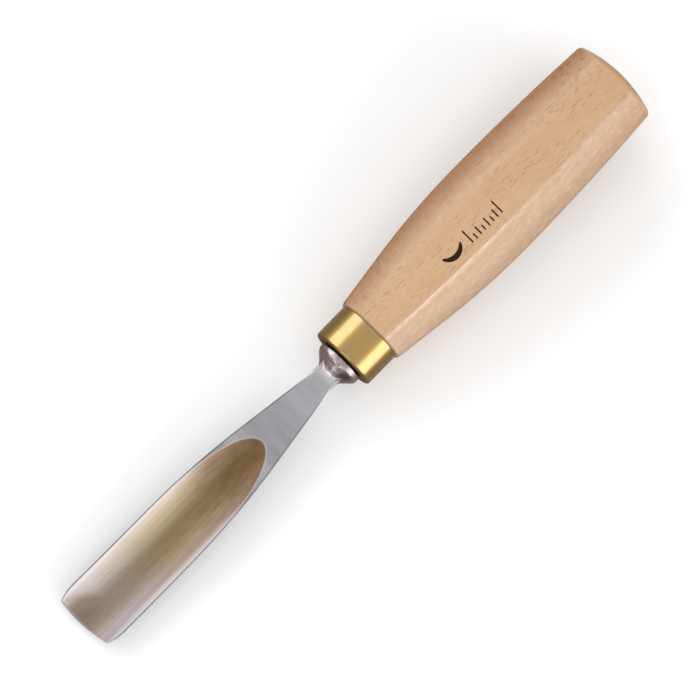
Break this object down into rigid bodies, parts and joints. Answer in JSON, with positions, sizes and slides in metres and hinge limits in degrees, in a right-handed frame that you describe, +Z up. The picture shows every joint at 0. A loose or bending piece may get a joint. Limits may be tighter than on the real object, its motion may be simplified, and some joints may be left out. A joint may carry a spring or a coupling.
{
  "type": "carving gouge",
  "caption": "Wood carving gouge with a shallow steel blade and bell-shaped bolster, a brass ferrule and a crowned octagonal beech handle with a domed end.",
  "frame": {"origin": "on the bench, under the middle of the tool's box, with the tool lying at rest on the heel of its bevel and the belly of its handle, channel up", "axes": "+X from the cutting edge towards the striking end, +Y across the blade, +Z up"},
  "size_m": [0.1996, 0.028, 0.0308],
  "materials": {
    "blade_steel": "ground and brushed lengthwise, with a darker forged bolster",
    "ferrule_brass": "satin, turned",
    "handle_beech": "fine sanded beech, waxed matt"
  },
  "bodies": {
    "root": {"blade": "blade_steel", "ferrule": "ferrule_brass", "handle": "handle_beech"}
  },
  "joints": []
}
